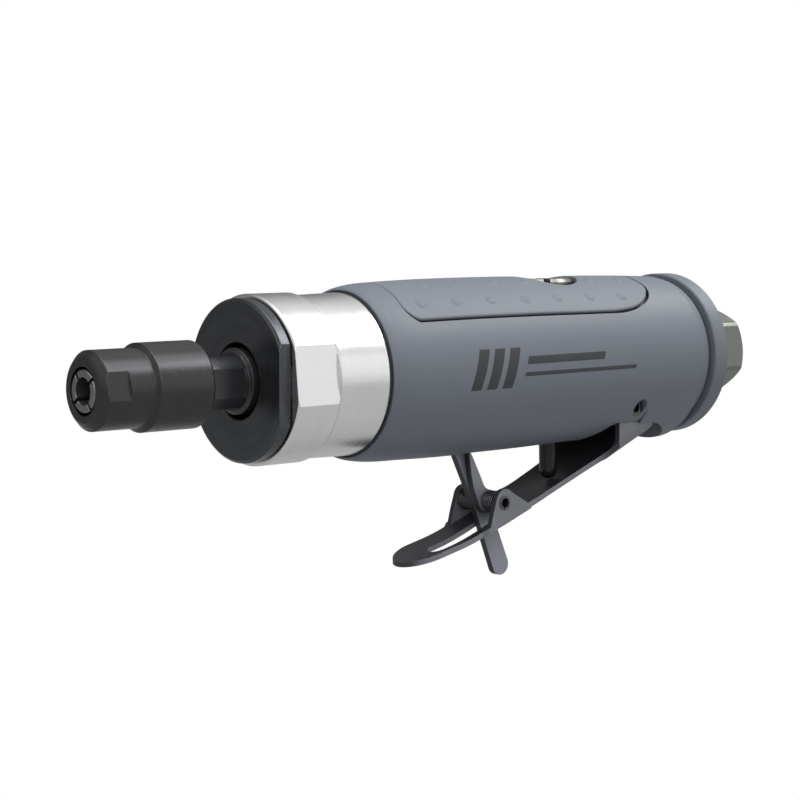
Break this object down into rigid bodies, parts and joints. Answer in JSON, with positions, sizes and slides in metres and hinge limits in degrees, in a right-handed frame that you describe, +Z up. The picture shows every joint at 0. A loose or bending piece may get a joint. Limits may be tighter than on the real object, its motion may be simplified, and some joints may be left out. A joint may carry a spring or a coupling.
{
  "type": "die grinder",
  "caption": "Straight air-driven die grinder with collet nose, bright motor nose, moulded grip, top regulator dial, hinged throttle lever with safety lock, and rear hex air inlet.",
  "frame": {"origin": "centre of the collet mouth on the spindle axis", "axes": "+X along the spindle from the collet back to the air inlet, +Z up through the regulator dial, throttle lever at -Z"},
  "size_m": [0.2124, 0.0456, 0.0789],
  "materials": {
    "black_oxide": "black oxide, satin",
    "ground_steel": "ground",
    "vane_resin": "phenolic laminate",
    "nose_metal": "turned and brushed",
    "bearing_steel": "polished",
    "fibre": "pressed fibre",
    "grip_composite": "moulded composite, satin",
    "pad_rubber": "soft overmould, matte",
    "dial_metal": "plated, satin",
    "seal_rubber": "nitrile",
    "brass": "turned",
    "spring_steel": "oil-blackened wire",
    "blued_steel": "dark coated sheet steel",
    "felt": "felt",
    "hex_steel": "dark plated",
    "screen_wire": "woven wire"
  },
  "bodies": {
    "housing": {"front_cap": "black_oxide", "nose_housing": "nose_metal", "front_bearing_washer": "ground_steel", "front_bearing_outer_race": "bearing_steel", "front_end_plate": "ground_steel", "cylinder_liner": "ground_steel", "rear_end_plate": "ground_steel", "dowel_pins": "ground_steel", "motor_gasket": "fibre", "rear_bearing_outer_race": "bearing_steel", "grip_housing": "grip_composite", "grip_pad": "pad_rubber", "regulator_seal": "seal_rubber", "valve_bushing": "brass", "plunger_seal": "seal_rubber", "valve_seat": "seal_rubber", "valve_spring": "spring_steel", "lever_pin": "spring_steel", "inlet_bushing": "hex_steel", "inlet_screen": "screen_wire", "inlet_seal": "seal_rubber"},
    "spindle": {"collet_nut": "black_oxide", "collet": "ground_steel", "rotor_spindle": "black_oxide", "rotor_vanes": "vane_resin", "front_bearing_inner_race": "bearing_steel", "rear_bearing_inner_race": "bearing_steel"},
    "front_ball_set": {"front_bearing_balls": "bearing_steel"},
    "rear_ball_set": {"rear_bearing_balls": "bearing_steel"},
    "lever": {"throttle_lever": "blued_steel", "lock_pin": "spring_steel", "lock_spring": "spring_steel"},
    "lock": {"lock_lever": "blued_steel"},
    "plunger": {"throttle_plunger": "black_oxide", "valve_ball": "bearing_steel"},
    "regulator": {"regulator_dial": "dial_metal"},
    "deflector": {"exhaust_deflector": "grip_composite", "muffler_felt": "felt"}
  },
  "joints": [
    {"name": "spindle_spin", "type": "hinge", "parent": "housing", "child": "spindle", "pos_m": [0, 0, 0], "axis": [1, 0, 0], "continuous": true},
    {"name": "front_ball_spin", "type": "hinge", "parent": "housing", "child": "front_ball_set", "pos_m": [0.05525, 0, 0], "axis": [1, 0, 0], "continuous": true},
    {"name": "rear_ball_spin", "type": "hinge", "parent": "housing", "child": "rear_ball_set", "pos_m": [0.1, 0, 0], "axis": [1, 0, 0], "continuous": true},
    {"name": "throttle_lever", "type": "hinge", "parent": "housing", "child": "lever", "pos_m": [0.161, 0, -0.013], "axis": [0, 1, 0], "range_deg": [0, 7.5]},
    {"name": "lock_lever", "type": "hinge", "parent": "lever", "child": "lock", "pos_m": [0.1199, 0, -0.03565], "axis": [0, 1, 0], "range_deg": [0, 100.5]},
    {"name": "throttle_plunger", "type": "slide", "parent": "housing", "child": "plunger", "axis": [0, 0, 1], "range_m": [0, 0.0033], "deforming": ["valve_spring"]},
    {"name": "air_regulator", "type": "hinge", "parent": "housing", "child": "regulator", "pos_m": [0.1415, 0, 0.0214], "axis": [0, 0, 1], "range_deg": [0, 90]},
    {"name": "exhaust_deflector", "type": "hinge", "parent": "housing", "child": "deflector", "pos_m": [0.188, 0, 0], "axis": [1, 0, 0], "continuous": true}
  ],
  "couplings": [
    {"joint": "front_ball_spin", "follows": "spindle_spin", "ratio": 0.3825},
    {"joint": "rear_ball_spin", "follows": "spindle_spin", "ratio": 0.3767},
    {"joint": "lock_lever", "follows": "throttle_lever", "ratio": 13.333},
    {"joint": "throttle_plunger", "follows": "throttle_lever", "m_per_rad": 0.024}
  ]
}
